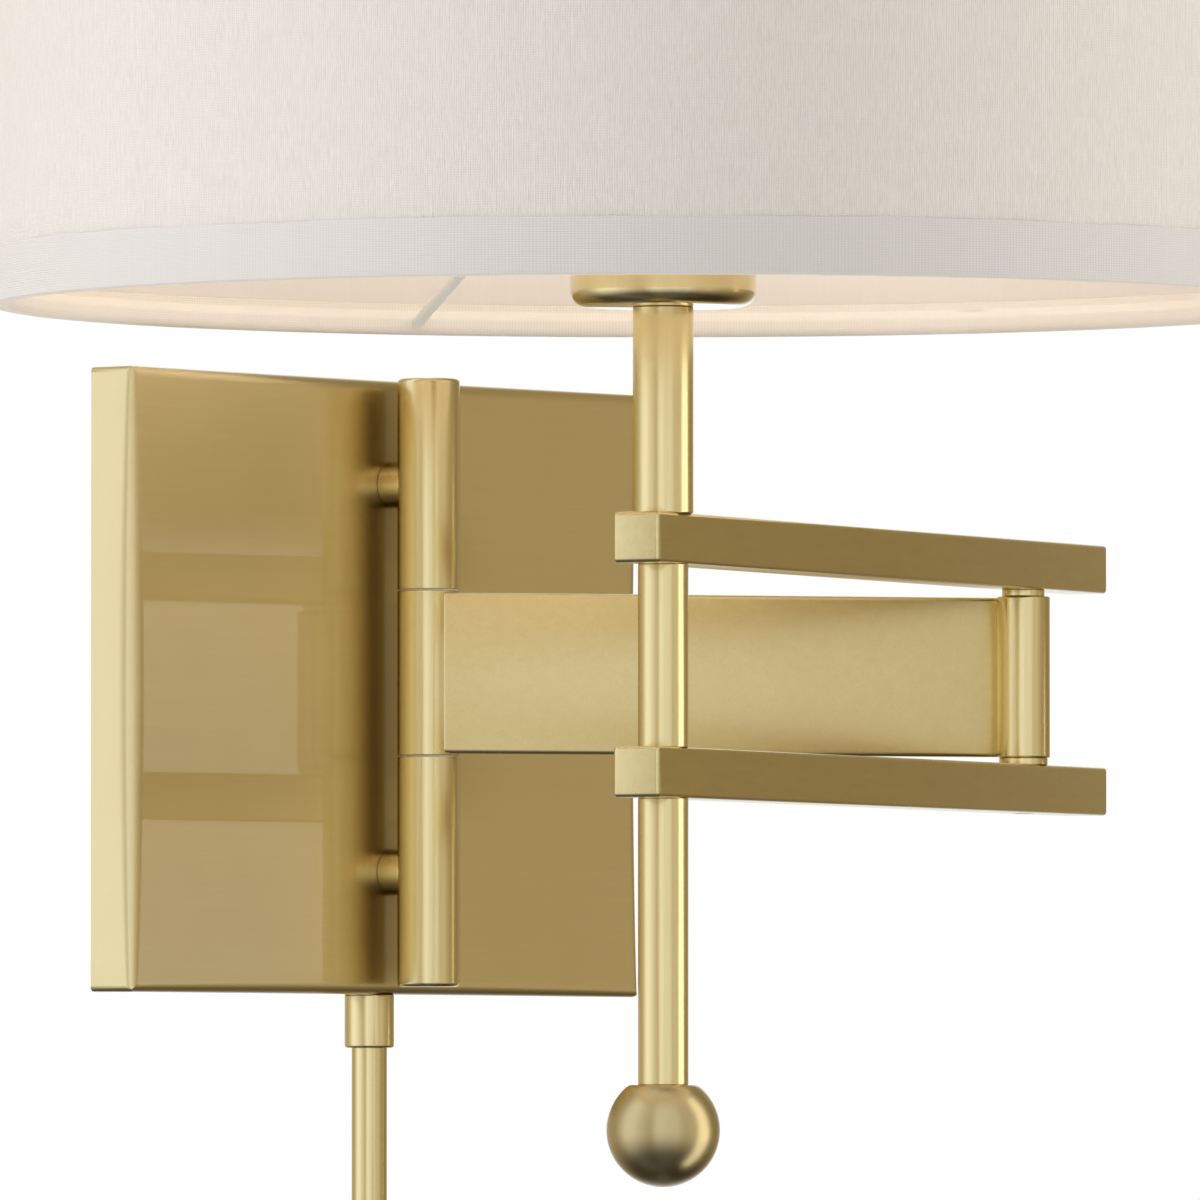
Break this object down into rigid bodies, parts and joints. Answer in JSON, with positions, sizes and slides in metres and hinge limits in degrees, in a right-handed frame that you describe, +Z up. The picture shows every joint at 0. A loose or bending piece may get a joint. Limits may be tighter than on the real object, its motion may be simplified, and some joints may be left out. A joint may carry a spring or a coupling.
{
  "type": "swing arm wall sconce",
  "caption": "Wall lamp with a shallow rectangular back plate, a hinged flat arm, a folding twin-bar link, a vertical stem with a ball end and a wide linen drum shade, in satin brass.",
  "frame": {"origin": "centre of the back of the wall plate, on the wall, midway between the two wall screws", "axes": "+Y into the wall along the screws, +X along the wall to the right, +Z up"},
  "size_m": [0.4312, 0.3408, 0.7216],
  "materials": {
    "satin_brass": "brushed and lacquered satin brass",
    "bracket_zinc": "zinc-plated sheet steel",
    "pin_steel": "turned steel",
    "screw_steel": "zinc-plated screw steel",
    "bushing_plastic": "natural acetal",
    "socket_black": "black moulded phenolic",
    "screw_shell_brass": "bare rolled brass",
    "white_wire": "white powder coat",
    "shade_linen": "off-white slubbed linen on a stiff liner",
    "shade_tape": "white cotton binding tape",
    "bulb_glass": "frosted white",
    "bulb_base_metal": "rolled thread",
    "grommet_rubber": "matte black"
  },
  "bodies": {
    "wall_plate": {"back_plate": "satin_brass", "mounting_bracket": "bracket_zinc", "set_screw_top_left": "screw_steel", "set_screw_top_right": "screw_steel", "set_screw_bottom_left": "screw_steel", "set_screw_bottom_right": "screw_steel", "standoff_upper": "satin_brass", "standoff_lower": "satin_brass", "standoff_screw_upper": "screw_steel", "standoff_screw_lower": "screw_steel", "hinge_tube_upper": "satin_brass", "hinge_tube_lower": "satin_brass", "hinge_washer_upper": "bushing_plastic", "hinge_washer_lower": "bushing_plastic", "hinge_pin": "pin_steel", "cord_ferrule": "satin_brass", "cord_cover_tube": "satin_brass", "cord_tube_nut": "satin_brass", "cord_grommet": "grommet_rubber"},
    "arm": {"arm_knuckle": "satin_brass", "arm_bar": "satin_brass", "elbow_post": "satin_brass", "knuckle_bushing_upper": "bushing_plastic", "knuckle_bushing_lower": "bushing_plastic", "post_bushing_upper": "bushing_plastic", "post_bushing_lower": "bushing_plastic"},
    "lamp": {"link_bar_upper": "satin_brass", "link_bar_lower": "satin_brass", "elbow_spacer_upper": "satin_brass", "elbow_spacer_lower": "satin_brass", "stem_upper": "satin_brass", "stem_middle": "satin_brass", "stem_lower": "satin_brass", "ball_finial": "satin_brass", "socket_cup": "satin_brass", "elbow_pin": "pin_steel", "lamp_pipe": "screw_steel", "cup_nut": "screw_steel", "socket_body": "socket_black", "fitter_nut": "socket_black", "screw_shell": "screw_shell_brass", "socket_contact": "screw_shell_brass", "fitter_hub": "white_wire", "fitter_spoke_1": "white_wire", "fitter_spoke_2": "white_wire", "fitter_spoke_3": "white_wire", "shade_ring_bottom": "white_wire", "shade_ring_top": "white_wire", "shade_shell": "shade_linen", "shade_trim_bottom": "shade_tape", "shade_trim_top": "shade_tape", "bulb_glass": "bulb_glass", "bulb_base": "bulb_base_metal"},
    "knob": {"switch_knob": "satin_brass"}
  },
  "joints": [
    {"name": "wall_hinge", "type": "hinge", "parent": "wall_plate", "child": "arm", "pos_m": [0, -0.0257, 0.0034], "axis": [0, 0, -1], "range_deg": [-29.9, 50.1]},
    {"name": "elbow", "type": "hinge", "parent": "arm", "child": "lamp", "pos_m": [0.12282, -0.1284, 0.0034], "axis": [0, 0, 1], "range_deg": [-6.2, 128.7]},
    {"name": "switch_turn", "type": "hinge", "parent": "lamp", "child": "knob", "pos_m": [-0.1093, -0.15518, 0.121], "axis": [-0.5, 0.866, 0], "continuous": true}
  ]
}
